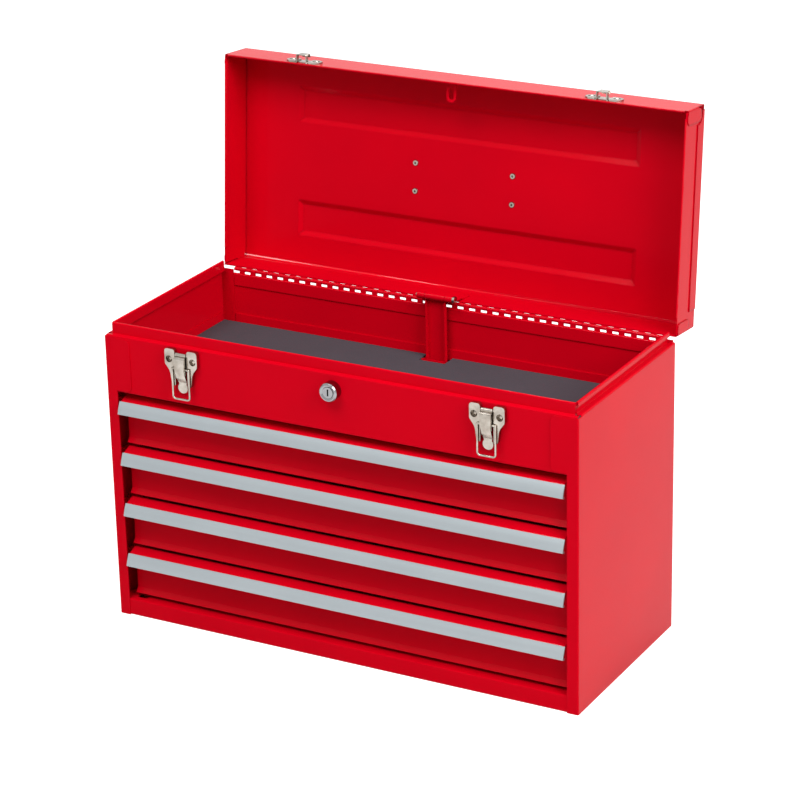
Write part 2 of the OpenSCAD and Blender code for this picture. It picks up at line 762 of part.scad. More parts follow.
// Hangs plumb: drawn for the shut lid about its own pivot, then set under the open pivot
module lock_bar() {
  web = bar_web_y;
  bar_top = -4.5;
  bar_low = tab_z(4) - 12 - bar_z;
  hook_y = pan_y1 + tab_reach_back - sheet_t - 2 - bar_y;
  color(paint)
    translate([0, bar_open_y, bar_open_z]) {
      difference() {
        union() {
          pin_x(-bar_w / 2, bar_w / 2, 0, 0, bar_knuckle_d);
          box([-bar_w / 2, bar_w / 2], [web - sheet_t / 2, web + sheet_t / 2], [bar_top - 2, 0]);
          along_z(bar_low, bar_top)
            folded([[-bar_w / 2 + sheet_t / 2, web + sheet_t / 2 - bar_depth], [-bar_w / 2 + sheet_t / 2, web],
              [bar_w / 2 - sheet_t / 2, web], [bar_w / 2 - sheet_t / 2, web + sheet_t / 2 - bar_depth]]);
        }
        pin_x(-bar_w, bar_w, 0, 0, bar_pin_d + 2 * run_gap);
      }
      for (row = [1 : 4])
        along_x(-hook_w / 2, hook_w / 2)
          folded([[web, tab_z(row) - bar_z], [web, tab_z(row) + hook_over - bar_z],
            [hook_y, tab_z(row) + hook_over - bar_z], [hook_y, tab_z(row) + 0.6 - bar_z]]);
    }
}

// ---- lock ----
module lock_housing() {
  r = lock_d / 2;
  front = lock_face_y - lock_proud;
  body_r = 7.8;
  color("#b8babd")
    translate([0, front, lock_z])
      rotate([-90, 0, 0])
        rotate_extrude()
          polygon([[5.6, 1.2], [6.6, 0.6], [r - 1.8, 0], [r - 0.9, 0.3], [r, 1.5], [r, lock_proud], [body_r, lock_proud],
            [body_r, lock_proud + 18], [5.6, lock_proud + 18]]);
}

module lock_nut() {
  start = lock_face_y + 2 * sheet_t;
  color(zinc)
    translate([0, start, lock_z])
      rotate([-90, 0, 0])
        difference() {
          cylinder(h = 4, d = 22, $fn = 6);
          translate([0, 0, -1])
            cylinder(h = 6, d = 15.7);
        }
}

module lock_plug() {
  front = lock_face_y - lock_proud + 0.8;
  color("#9a9da1")
    difference() {
      union() {
        pin_y(0, front, lock_face_y + 18.2, lock_z, 11);
        box([-2.8, 2.8], [lock_face_y + 18, lock_face_y + 21.5], [lock_z - 2.8, lock_z + 2.8]);
      }
      box([-0.8, 0.8], [front - 1, front + 9], [lock_z - 3.5, lock_z + 3.5]);
    }
}

// Swings up behind the rim when the key turns
module lock_cam() {
  color(zinc)
    difference() {
      along_y(lock_face_y + 18.3, lock_face_y + 20.3) {
        translate([0, lock_z])
          circle(7);
        rect([-22, lock_z - 4.5], [0, lock_z + 4.5]);
        translate([-22, lock_z])
          circle(4.5);
      }
      box([-2.85, 2.85], [lock_face_y + 17, lock_face_y + 24], [lock_z - 2.85, lock_z + 2.85]);
    }
}

// ---- latches ----
// One ear and leg of the latch plate, seen from the front
function latch_half() = [[channel, -latch_leg], [11, -latch_leg], [12.9, -12.5], [latch_w / 2, -5],
  [latch_w / 2, 10.8], [channel, 10.8]];

// Pressed sheet: a raised face with walls down to the panel, and a cup for each rivet
module pressed(outline, corners, face_y, depth, rivet_at) {
  cup_r = latch_w / 2 - rivet_pitch / 2 - 0.5;
  inside = [for (c = corners) max(0.4, c - latch_t)];
  along_y(face_y, face_y + depth)
    difference() {
      polygon(rounded(outline, corners));
      polygon(rounded(inset(outline, latch_t), inside));
    }
  along_y(face_y, face_y + latch_t)
    difference() {
      polygon(rounded(outline, corners));
      translate(rivet_at)
        circle(cup_r - latch_t / 2);
    }
  translate([rivet_at[0], 0, rivet_at[1]])
    difference() {
      pin_y(0, face_y, face_y + depth, 0, 2 * cup_r);
      pin_y(0, face_y - 1, face_y + depth - latch_t, 0, 2 * cup_r - 2 * latch_t);
    }
}

module latch_base(side) {
  color(zinc)
    translate([side * latch_x, 0, 0])
      difference() {
        union() {
          both()
            translate([0, 0, latch_z])
              pressed(latch_half(), [1, 1.8, 7, 3.5, 3, 2.6], front_y - latch_d, latch_d, [rivet_pitch / 2, 0]);
          box([-channel - 0.5, channel + 0.5], [front_y - latch_t, front_y], [latch_z - 12, latch_z + 4]);
          pin_x(-channel - 0.5, channel + 0.5, lever_y, lever_z, 2);
        }
        for (end = [-1, 1])
          pin_y(end * rivet_pitch / 2, front_y - 3, front_y + 1, latch_z, 3.5);
      }
}

module latch_rivets() {
  color(zinc)
    for (side = [-1, 1], end = [-1, 1])
      rivet(side * latch_x + end * rivet_pitch / 2, front_y - latch_t, front_y + 2 * sheet_t, latch_z);
}

// Domed head in front, shank through both sheets, low head behind
module rivet(x, y0, y1, z) {
  translate([x, 0, z]) {
    translate([0, y0, 0])
      rotate([90, 0, 0])
        intersection() {
          translate([0, 0, -1.8])
            sphere(r = 3.6);
          cylinder(h = 4, r = 3);
        }
    pin_y(0, y0, y1, 0, 3.4);
    pin_y(0, y1, y1 + 1, 0, 5.6);
  }
}

// Lever drawn hanging: a knuckle on the pin, a hump, a neck and a round tip near the panel
module latch_lever(side) {
  skin = 1.1;
  neck = lever_w / 2 - 0.7;
  tip_z = latch_z - tip_drop;
  hump = bail_y - wire_d / 2 - 1.3;
  color(zinc)
    translate([side * latch_x, 0, 0])
      difference() {
        union() {
          pin_x(-lever_w / 2, lever_w / 2, lever_y, lever_z, 4.2);
          intersection() {
            along_x(-lever_w / 2, lever_w / 2)
              folded([[lever_y - 0.8, latch_z + 3.8], [hump + 0.5, latch_z + 3.4], [hump, latch_z - 1.5],
                [hump + 0.2, latch_z - 9], [front_y - 5, latch_z - 18], [front_y - 1.9, latch_z - 23.6],
                [front_y - 2.2, tip_z - tip_d / 2 - 1]], skin, 1.6);
            along_y(front_y - 20, front_y) {
              rect([-lever_w / 2, latch_z - 6], [lever_w / 2, latch_z + 9]);
              polygon([[-lever_w / 2, latch_z - 5], [-neck, latch_z - 9], [-neck, latch_z - 21], [-neck + 1.4, tip_z + 3],
                [neck - 1.4, tip_z + 3], [neck, latch_z - 21], [neck, latch_z - 9], [lever_w / 2, latch_z - 5]]);
              translate([0, tip_z])
                circle(d = tip_d);
            }
          }
          for (end = [-1, 1])
            along_x(end * (lever_w / 2 - skin / 2) - skin / 2, end * (lever_w / 2 - skin / 2) + skin / 2)
              polygon([[hump + 0.4, latch_z + 3.6], [lever_y, latch_z + 3.8], [lever_y + 1.2, latch_z - 0.5],
                [bail_y + 2.6, latch_z - 7.5], [bail_y + 1.6, latch_z - 10.6], [hump + 2.4, latch_z - 14],
                [hump + 0.7, latch_z - 10.4], [hump + 0.1, latch_z - 8], [hump - 0.1, latch_z - 1.5]]);
        }
        pin_x(-lever_w, lever_w, lever_y, lever_z, 2 + 2 * run_gap);
        pin_x(-lever_w, lever_w, bail_y, bail_z, wire_d + 2 * run_gap);
      }
}

// Wire loop with its ends turned in through the lever's sides
module latch_bail(side) {
  half = bail_w / 2 - wire_d / 2;
  end_x = lever_w / 2 - 1.6;
  color(zinc)
    translate([side * latch_x, bail_y, bail_z]) {
      for (end = [-1, 1]) {
        pin_x(end > 0 ? end_x : -half, end > 0 ? half : -end_x, 0, 0, wire_d);
        translate([end * half, 0, 0])
          sphere(d = wire_d);
        translate([end * half, 0, -bail_len + 3])
          cylinder(h = bail_len - 3, d = wire_d);
        translate([end * (half - 3), 0, -bail_len + 3])
          rotate([90, 0, 0])
            quarter_wire(end);
      }
      pin_x(-half + 3, half - 3, 0, -bail_len, wire_d);
    }
}

module quarter_wire(end) {
  rotate([0, 0, end > 0 ? -90 : 180])
    rotate_extrude(angle = 90)
      translate([3, 0])
        circle(d = wire_d);
}

// Plate on the lid: two raised wings and a bridge whose lip the bail hooks under
module lid_catch(side) {
  wing = [[channel, -7], [15, -7], [latch_w / 2 + 1, -3], [latch_w / 2 + 1, 3.5], [15, 7], [channel, 7]];
  half = hook_plate_w / 2;
  top = lid_front - hook_rise;
  color(zinc)
    opened()
      translate([side * latch_x, 0, 0])
        difference() {
          union() {
            both()
              translate([0, 0, catch_z])
                pressed(wing, [1.5, 2, 3, 3, 2, 1.5], lid_front - 2, 2, [rivet_pitch / 2, 0]);
            box([-channel - 0.5, channel + 0.5], [lid_front - latch_t, lid_front], [catch_z - 5, catch_z + 6.5]);
            along_z(catch_z - 7.5, catch_z - 3)
              folded([[half + 1.5, lid_front - latch_t / 2], [half, lid_front - latch_t / 2], [half, top + 0.5],
                [-half, top + 0.5], [-half, lid_front - latch_t / 2], [-half - 1.5, lid_front - latch_t / 2]], latch_t, 0.9);
            along_x(-half + 0.9, half - 0.9)
              folded([[top + 0.5, catch_z - 7.5], [top + 0.5, catch_z + 2.6], [top + 4, catch_z + 3.6]], latch_t, 0.9);
          }
          for (end = [-1, 1])
            pin_y(end * rivet_pitch / 2, lid_front - 4, lid_front + 1, catch_z, 3.5);
        }
}

module catch_rivets() {
  color(zinc)
    opened()
      for (side = [-1, 1], end = [-1, 1])
        rivet(side * latch_x + end * rivet_pitch / 2, lid_front - latch_t, lid_front + sheet_t, catch_z);
}

// ---- handle ----
module handle_bracket(side) {
  foot_w = 16;
  hole = handle_wire / 2 + 0.2;
  color(zinc)
    opened()
      translate([side * handle_span / 2, lid_mid_y, lid_top])
        difference() {
          union() {
            along_z(0, 1.5)
              round_rect([-foot_w / 2, -handle_rivets_pitch / 2 - 6.5],
                [foot_w / 2, handle_rivets_pitch / 2 + 6.5], 6);
            along_x(-foot_w / 2, foot_w / 2) {
              translate([0, handle_pivot - lid_top])
                circle(hole + 1.5);
              rect([-hole - 1.5, 0], [hole + 1.5, handle_pivot - lid_top]);
            }
          }
          pin_x(-foot_w, foot_w, 0, handle_pivot - lid_top, 2 * hole);
          for (end = [-1, 1])
            translate([0, end * handle_rivets_pitch / 2, -1])
              cylinder(h = 5, d = 4.2);
        }
}

// Hollow rivets: head outside, rolled edge inside
module handle_rivets() {
  color(zinc)
    opened()
      for (side = [-1, 1], end = [-1, 1])
        translate([side * handle_span / 2, lid_mid_y + end * handle_rivets_pitch / 2, 0])
          difference() {
            union() {
              translate([0, 0, lid_top - sheet_t - 1])
                cylinder(h = sheet_t + 4, d = 4.2);
              translate([0, 0, lid_top + 1.5])
                cylinder(h = 1.5, r1 = 3.6, r2 = 2.6);
              translate([0, 0, lid_top - sheet_t - 1])
                cylinder(h = 1, r1 = 2.6, r2 = 3.2);
            }
            translate([0, 0, lid_top - sheet_t - 2])
              cylinder(h = sheet_t + 3, d = 2.4);
          }
}

// Hangs plumb under its pivot while the lid stands open
module handle_bail() {
  corner = 9;
  color(zinc)
    translate([0, handle_y, handle_z]) {
      both() {
        pin_x(handle_span / 2 - 9, handle_arm - corner / 2, 0, 0, handle_wire);
        translate([handle_arm - corner / 2, 0, -corner / 2])
          rotate([90, 0, 0])
            quarter_ring(corner / 2, 0);
        translate([handle_arm, 0, -handle_reach + corner])
          cylinder(h = handle_reach - 1.5 * corner, d = handle_wire);
        translate([handle_arm - corner, 0, -handle_reach + corner])
          rotate([90, 0, 0])
            quarter_ring(corner, -90);
      }
      pin_x(-handle_arm + corner, handle_arm - corner, 0, -handle_reach, handle_wire);
    }
}

// Quarter turn of the handle's wire
module quarter_ring(r, from) {
  rotate(from)
    rotate_extrude(angle = 90)
      translate([r, 0])
        circle(d = handle_wire);
}

module handle_grip() {
  round_r = 3;
  color("#232425")
    translate([-grip_len / 2, handle_y, handle_z - handle_reach])
      rotate([0, 90, 0])
        rotate_extrude()
          difference() {
            round_rect([-grip_d / 2, 0], [grip_d / 2, grip_len], round_r);
            rect([-grip_d, -1], [handle_wire / 2, grip_len + 1]);
          }
}

color(paint) mirror([1, 0, 0]) side_panel();  // side_panel_left
color(paint) side_panel();  // side_panel_right
front_panel();
bottom_panel();
rear_panel();
tray_panel();
tray_mat();
mirror([1, 0, 0]) runner(1);  // runner_left_1
mirror([1, 0, 0]) runner(2);  // runner_left_2
mirror([1, 0, 0]) runner(3);  // runner_left_3
mirror([1, 0, 0]) runner(4);  // runner_left_4
runner(1);  // runner_right_1
runner(2);  // runner_right_2
runner(3);  // runner_right_3
runner(4);  // runner_right_4
hinge_leaf_lower();
hinge_pin();
lock_housing();
lock_nut();
lock_plug();
lock_cam();
latch_base(-1);  // latch_base_left
latch_base(1);  // latch_base_right
latch_rivets();
latch_lever(-1);  // latch_lever_left
latch_lever(1);  // latch_lever_right
latch_bail(-1);  // latch_bail_left
latch_bail(1);  // latch_bail_right
drawer_front(1);  // drawer_front_1
drawer_front(2);  // drawer_front_2
drawer_front(3);  // drawer_front_3
drawer_front(4);  // drawer_front_4
drawer_pan(1);  // drawer_pan_1
drawer_pan(2);  // drawer_pan_2
drawer_pan(3);  // drawer_pan_3
drawer_pan(4);  // drawer_pan_4
drawer_pull(1);  // drawer_pull_1
drawer_pull(2);  // drawer_pull_2
drawer_pull(3);  // drawer_pull_3
drawer_pull(4);  // drawer_pull_4
lid_shell();
color(paint) opened() mirror([1, 0, 0]) lid_end();  // lid_end_left
color(paint) opened() lid_end();  // lid_end_right
hinge_leaf_upper();
lid_strike();
lid_catch(-1);  // lid_catch_left
lid_catch(1);  // lid_catch_right
catch_rivets();
bar_bracket();
bar_pin();
lock_bar();
handle_bracket(-1);  // handle_bracket_left
handle_bracket(1);  // handle_bracket_right
handle_rivets();
handle_bail();
handle_grip();
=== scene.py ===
# Red portable tool box: four drawers, open tray, lid standing open, toggle latches, front lock.
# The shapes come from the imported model; this file dresses them and sets the light and the camera.
import json
import math
import bmesh
import bpy
import numpy as np
from mathutils import Matrix, Vector


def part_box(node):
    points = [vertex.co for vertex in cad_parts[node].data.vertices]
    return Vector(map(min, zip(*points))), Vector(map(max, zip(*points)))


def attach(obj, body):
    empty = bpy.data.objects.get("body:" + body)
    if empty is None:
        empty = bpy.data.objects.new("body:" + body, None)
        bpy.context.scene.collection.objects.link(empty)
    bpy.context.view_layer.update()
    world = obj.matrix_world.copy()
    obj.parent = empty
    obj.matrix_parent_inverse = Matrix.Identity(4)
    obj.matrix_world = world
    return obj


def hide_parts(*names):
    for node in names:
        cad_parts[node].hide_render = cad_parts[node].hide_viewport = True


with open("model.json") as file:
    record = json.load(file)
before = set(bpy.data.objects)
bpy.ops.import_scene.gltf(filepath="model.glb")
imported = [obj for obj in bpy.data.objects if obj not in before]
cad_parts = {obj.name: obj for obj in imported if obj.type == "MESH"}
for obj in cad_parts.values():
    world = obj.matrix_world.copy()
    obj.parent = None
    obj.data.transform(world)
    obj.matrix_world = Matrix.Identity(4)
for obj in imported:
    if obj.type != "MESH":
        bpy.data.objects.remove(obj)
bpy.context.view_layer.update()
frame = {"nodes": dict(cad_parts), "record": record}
nodes = frame["nodes"]
mm = 0.001


# A node's output, so that sums and products of wires add their own Math nodes.
class Wire:
    def __init__(self, sheet, socket):
        self.sheet = sheet
        self.socket = socket

    def math(self, operation, *others, clamp=False):
        node = self.sheet.tree.nodes.new("ShaderNodeMath")
        node.operation = operation
        node.use_clamp = clamp
        for k, value in enumerate((self,) + others):
            self.sheet.plug(value, node.inputs[k])
        return Wire(self.sheet, node.outputs[0])

    def swapped(self, operation, other):
        node = self.sheet.tree.nodes.new("ShaderNodeMath")
        node.operation = operation
        self.sheet.plug(other, node.inputs[0])
        self.sheet.plug(self, node.inputs[1])
        return Wire(self.sheet, node.outputs[0])

    def __add__(self, other):
        return self.math("ADD", other)

    def __radd__(self, other):
        return self.math("ADD", other)

    def __sub__(self, other):
        return self.math("SUBTRACT", other)

    def __rsub__(self, other):
        return self.swapped("SUBTRACT", other)

    def __mul__(self, other):
        return self.math("MULTIPLY", other)

    def __rmul__(self, other):
        return self.math("MULTIPLY", other)

    def clamped(self):
        return self.math("ADD", 0.0, clamp=True)


# One material's node tree, with a Principled shader ready to be fed.
class Sheet:
    def __init__(self, name):
        self.material = bpy.data.materials.new(name)
        self.material.use_nodes = True
        self.tree = self.material.node_tree
        self.tree.nodes.clear()
        self.out = self.tree.nodes.new("ShaderNodeOutputMaterial")
        self.shader = self.tree.nodes.new("ShaderNodeBsdfPrincipled")
        self.tree.links.new(self.shader.outputs[0], self.out.inputs[0])

    def plug(self, value, socket):
        if isinstance(value, Wire):
            self.tree.links.new(value.socket, socket)
        else:
            socket.default_value = value

    def add(self, kind, settings=None, inputs=None, output=0):
        node = self.tree.nodes.new(kind)
        for key, value in (settings or {}).items():
            setattr(node, key, value)
        for key, value in (inputs or {}).items():
            self.plug(value, node.inputs[key])
        return Wire(self, node.outputs[output])

    def feed(self, **values):
        for key, value in values.items():
            self.plug(value, self.shader.inputs[key.replace("_", " ")])

    def noise(self, where, scale, detail=2.0, rough=0.5):
        inputs = {"Vector": where, "Scale": scale, "Detail": detail, "Roughness": rough}
        return self.add("ShaderNodeTexNoise", {}, inputs)

    def blend(self, amount, first, second):
        return self.add("ShaderNodeMix", {"data_type": "RGBA"}, {0: amount, 6: first, 7: second}, 2)

    def bump(self, height, strength, distance, normal=None):
        inputs = {"Height": height, "Strength": strength, "Distance": distance}
        if normal is not None:
            inputs["Normal"] = normal
        return self.add("ShaderNodeBump", {}, inputs)


def objectPlace(sheet):
    return sheet.add("ShaderNodeTexCoord", {}, {}, "Object")


enamel = {
    "colour": (0.63, 0.0002, 0.009, 1), "deep": (0.56, 0.0001, 0.009, 1), "roughness": 0.38,
    "coatFacing": 0.02, "coatSlant": 0.12, "coatGlancing": 0.32, "coatBend": 1.0, "orangePeel": 0.05,
    "edge": 0.0009, "lidEdge": 0.004, "coatRoughness": 0.11, "specular": 0.01, "bumpDepth": 0.0006,
    "cloudScale": 9.0, "fineScale": 420.0, "speckScale": 2600.0, "rubScale": 34.0,
    "foldStart": 0.82, "foldGain": 9.0,
    "slantStart": 0.24, "slantGain": 4.0, "glancingStart": 0.57, "glancingGain": 8.0,
}


# A rounded normal softens the edges of the sheet. The coat is strongest where the sheet is
# seen at a slant and round its folds, where the surface faces none of the axes; fine noise
# gives the orange peel of sprayed enamel.
def enamelFinish(name, look, edge):
    s = Sheet(name)
    here = objectPlace(s)
    cloud = s.noise(here, look["cloudScale"], 3.0)
    fine = s.noise(here, look["fineScale"], 2.0)
    specks = s.noise(here, look["speckScale"], 1.0)
    rub = s.noise(here, look["rubScale"], 4.0, 0.65)
    s.feed(Base_Color=s.blend((cloud * 1.6 - 0.4).clamped(), look["deep"], look["colour"]))
    s.feed(Roughness=look["roughness"] - 0.05 + 0.10 * rub)
    rounded = s.add("ShaderNodeBevel", {"samples": 4}, {"Radius": edge})
    s.feed(Normal=s.bump(fine * 0.7 + specks * 0.3, look["orangePeel"], look["bumpDepth"], rounded))
    facing = s.add("ShaderNodeTexCoord", {}, {}, "Normal")
    parts = [s.add("ShaderNodeSeparateXYZ", {}, {0: facing}, k).math("ABSOLUTE") for k in range(3)]
    largest = parts[0].math("MAXIMUM", parts[1]).math("MAXIMUM", parts[2])
    fold = ((look["foldStart"] - largest) * look["foldGain"]).clamped()
    slant = s.add("ShaderNodeLayerWeight", {}, {"Blend": 0.5}, "Facing")
    slanted = ((slant - look["slantStart"]) * look["slantGain"]).clamped()
    glancing = ((slant - look["glancingStart"]) * look["glancingGain"]).clamped()
    gloss = slanted * look["coatSlant"] + glancing * look["coatGlancing"]
    s.feed(Coat_Weight=(look["coatFacing"] + gloss + look["coatBend"] * fold).clamped())
    s.shader.inputs["Specular IOR Level"].default_value = look["specular"]
    s.shader.inputs["Coat Roughness"].default_value = look["coatRoughness"]
    return s.material


satinAluminium = {
    "colour": (0.415, 0.455, 0.475, 1), "dull": (0.33, 0.365, 0.385, 1), "roughness": 0.42,
    "metallic": 0.85, "lineStretch": (6.0, 1500.0, 1500.0), "cloudScale": 14.0, "lineDepth": 0.0002,
}


def aluminiumFinish(name, look):
    s = Sheet(name)
    here = objectPlace(s)
    drawn = s.add("ShaderNodeMapping", {}, {"Vector": here, "Scale": look["lineStretch"]})
    lines = s.noise(drawn, 1.0, 3.0, 0.6)
    cloud = s.noise(here, look["cloudScale"], 2.0)
    s.feed(Base_Color=s.blend((lines * 0.5 + cloud * 0.5).clamped(), look["dull"], look["colour"]))
    s.feed(Roughness=look["roughness"] - 0.06 + 0.14 * lines)
    s.feed(Normal=s.bump(lines, 0.10, look["lineDepth"]))
    s.shader.inputs["Metallic"].default_value = look["metallic"]
    return s.material


# Each plated metal's second colour is a painted dark reflection: darker clouds that stand in for dark
# surroundings mirrored in the metal.
nickel = {"colour": (0.56, 0.52, 0.465, 1), "paintedDarkReflection": (0.24, 0.205, 0.17, 1), "roughness": 0.17}
chrome = {"colour": (0.33, 0.33, 0.34, 1), "paintedDarkReflection": (0.24, 0.24, 0.25, 1), "roughness": 0.10}
plating = {"cloudScale": 60.0, "fineScale": 900.0, "fineDepth": 0.0003}


def platedFinish(name, look):
    s = Sheet(name)
    here = objectPlace(s)
    cloud = s.noise(here, plating["cloudScale"], 4.0, 0.6)
    fine = s.noise(here, plating["fineScale"], 2.0)
    # Painted reflection: random clouds blend the base colour towards the darker one, to stand in for
    # the dark surroundings mirrored in the plating.
    s.feed(Base_Color=s.blend((cloud * 2.0 - 0.55).clamped(), look["paintedDarkReflection"], look["colour"]))
    s.feed(Roughness=look["roughness"] - 0.05 + 0.16 * cloud)
    s.feed(Normal=s.bump(fine, 0.06, plating["fineDepth"]))
    s.shader.inputs["Metallic"].default_value = 1.0
    return s.material


foam = {
    "colour": (0.040, 0.035, 0.047, 1), "dark": (0.023, 0.021, 0.029, 1), "roughness": 0.86,
    "grainScale": 900.0, "cloudScale": 22.0, "fineScale": 1500.0, "grainDepth": 0.0004, "sheen": 0.05,
}


def foamFinish(name, look):
    s = Sheet(name)
    here = objectPlace(s)
    grains = s.add("ShaderNodeTexVoronoi", {}, {"Vector": here, "Scale": look["grainScale"]})
    cloud = s.noise(here, look["cloudScale"], 4.0, 0.6)
    fine = s.noise(here, look["fineScale"], 2.0)
    s.feed(Base_Color=s.blend((cloud * 0.7 + fine * 0.6 - 0.1).clamped(), look["dark"], look["colour"]))
    s.feed(Roughness=look["roughness"] + 0.12 * fine - 0.05)
    s.feed(Normal=s.bump(grains + fine * 0.5, 0.35, look["grainDepth"]))
    s.shader.inputs["Sheen Weight"].default_value = look["sheen"]
    return s.material


gripLook = {
    "colour": (0.022, 0.022, 0.024, 1), "worn": (0.05, 0.05, 0.052, 1), "roughness": 0.5,
    "cloudScale": 40.0, "pebbleScale": 700.0, "pebbleDepth": 0.0004,
}


def gripFinish(name, look):
    s = Sheet(name)
    here = objectPlace(s)
    cloud = s.noise(here, look["cloudScale"], 4.0, 0.6)
    pebble = s.add("ShaderNodeTexVoronoi", {}, {"Vector": here, "Scale": look["pebbleScale"]})
    s.feed(Base_Color=s.blend((cloud * 1.5 - 0.4).clamped(), look["colour"], look["worn"]))
    s.feed(Roughness=look["roughness"] + 0.2 * cloud - 0.1)
    s.feed(Normal=s.bump(pebble, 0.25, look["pebbleDepth"]))
    return s.material


finishes = {
    "red_paint": enamelFinish("redEnamel", enamel, enamel["edge"]),
    "satin_aluminium": aluminiumFinish("satinPull", satinAluminium),
    "zinc_plate": platedFinish("nickelPlate", nickel),
    "bright_chrome": platedFinish("chromePlate", chrome),
    "foam_mat": foamFinish("foamMat", foam),
    "black_grip": gripFinish("handGrip", gripLook),
}
for part in frame["record"]["subparts"]:
    mesh = nodes[part["node"]].data
    mesh.materials.clear()
    mesh.materials.append(finishes[part["material_slot"]])
# A wider rounding, for the lid's pressed beads.
pressed = enamelFinish("pressedLidEnamel", enamel, enamel["lidEdge"])
nodes["lid_shell"].data.materials[0] = pressed
print("finishes on", len(nodes), "nodes")

# The floor reaches this far from the middle, in metres.
stageLook = {"floor": 9.0, "white": 0.62, "glow": 0.76}


# A grid of points (rows x columns x 3) becomes quads between neighbours.
def pieceFromGrid(name, points, material):
    rows, columns = points.shape[:2]
    number = np.arange(rows * columns).reshape(rows, columns)
    a, b = number[:-1, :-1].ravel(), number[:-1, 1:].ravel()
    c, d = number[1:, 1:].ravel(), number[1:, :-1].ravel()
    mesh = bpy.data.meshes.new(name)
    mesh.from_pydata(points.reshape(-1, 3).tolist(), [], np.stack([a, b, c, d], 1).tolist())
    mesh.update()
    mesh.materials.append(material)
    piece = bpy.data.objects.new(name, mesh)
    bpy.context.scene.collection.objects.link(piece)
    return piece


handGrip = {
    "ribs": 26, "ribHeight": 0.55 * mm, "ribbedShare": 0.80, "fadeShare": 0.06, "ribSharpness": 1.5,
    "endRound": 3.4 * mm, "bore": 3.05 * mm, "endSteps": 7, "lengthSteps": 361, "turnSteps": 65,
}


# Turned round the x axis: the radius follows a quarter round at both ends and, along the
# middle, dips by a power of a raised cosine between ribs; the bore's wall closes the inside.
def makeGrip(look):
    low, high = (np.array(corner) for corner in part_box("handle_grip"))
    half, radius = (high[0] - low[0]) / 2, (high[1] - low[1]) / 2
    turn = np.linspace(0, math.pi / 2, look["endSteps"])
    endX = half - look["endRound"] * (1 - np.sin(turn))
    endR = radius - look["endRound"] * (1 - np.cos(turn))
    x = np.linspace(-half + look["endRound"], half - look["endRound"], look["lengthSteps"])
    share = np.clip((look["ribbedShare"] * half - np.abs(x)) / (look["fadeShare"] * half), 0, 1)
    wave = np.cos(2 * math.pi * look["ribs"] * (x + half) / (2 * half))
    dip = (0.5 - 0.5 * wave) ** look["ribSharpness"]
    r = radius - look["ribHeight"] * dip * share
    pathX = np.concatenate([[-half], -endX[::-1], x, endX, [half], [-half]])
    pathR = np.concatenate([[look["bore"]], endR[::-1], r, endR, [look["bore"]], [look["bore"]]])
    angle = np.linspace(0, 2 * math.pi, look["turnSteps"])
    centre = (low + high) / 2
    points = np.stack([
        centre[0] + pathX[:, None] + 0 * angle,
        centre[1] + pathR[:, None] * np.cos(angle),
        centre[2] + pathR[:, None] * np.sin(angle),
    ], 2)
    grip = pieceFromGrid("ribbedGrip", points, finishes["black_grip"])
    tidyShell(grip)
    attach(grip, "handle")
    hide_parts("handle_grip")


# Seams of the grid are merged, and faces are turned outwards and shaded smooth.
def tidyShell(piece):
    shell = bmesh.new()
    shell.from_mesh(piece.data)
    bmesh.ops.remove_doubles(shell, verts=shell.verts, dist=1e-6)
    bmesh.ops.recalc_face_normals(shell, faces=shell.faces)
    if shell.calc_volume(signed=True) < 0:
        bmesh.ops.reverse_faces(shell, faces=shell.faces)
    for face in shell.faces:
        face.smooth = True
    shell.to_mesh(piece.data)
    shell.free()


makeGrip(handGrip)
print("grip turned and ribbed")

lidHinge = {"y": 112.75 * mm, "z": 306.4 * mm, "opened": math.radians(94.7)}


# Carries the lid's shut position to its open one: a turn about the hinge pin.
def withLid(y, z):
    dy, dz = y - lidHinge["y"], z - lidHinge["z"]
    c, s = math.cos(lidHinge["opened"]), math.sin(lidHinge["opened"])
    return lidHinge["y"] + dy * c + dz * s, lidHinge["z"] - dy * s + dz * c


lidFold = {
    "cornerY": 109.75 * mm, "cornerZ": 350.0 * mm, "radius": 2.6 * mm, "inset": 0.25 * mm,
    "halfLength": 256.8 * mm, "steps": 13,
}


# The round inside the lid's rear fold: a concave quarter circle between two legs that sit in
# the sheet, run along x and pinched shut at both ends.
def makeLidFold(look):
    turn = np.linspace(0, math.pi / 2, look["steps"])
    y = look["cornerY"] - look["radius"] * (1 - np.sin(turn))
    z = look["cornerZ"] - look["radius"] * (1 - np.cos(turn))
    backY, backZ = look["cornerY"] + look["inset"], look["cornerZ"] + look["inset"]
    y = np.concatenate([y, [backY, backY, y[0], y[0]]])
    z = np.concatenate([z, [z[-1], backZ, backZ, z[0]]])
    x = np.array([-1, -1, 1, 1])[:, None] * look["halfLength"] + 0 * y
    full = np.array([0, 1, 1, 0])[:, None]
    middleY, middleZ = y[:-1].mean(), z[:-1].mean()
    openY, openZ = withLid(middleY + full * (y - middleY), middleZ + full * (z - middleZ))
    fold = pieceFromGrid("lidFoldRound", np.stack([x, openY, openZ], 2), finishes["red_paint"])
    tidyShell(fold)
    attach(fold, "lid")


cornerSeam = {
    "x": 257.7 * mm, "y": 109.35 * mm, "low": 333.0 * mm, "high": 350.2 * mm, "radius": 0.75 * mm,
    "bluntness": 8, "lengthSteps": 33, "turnSteps": 17,
}


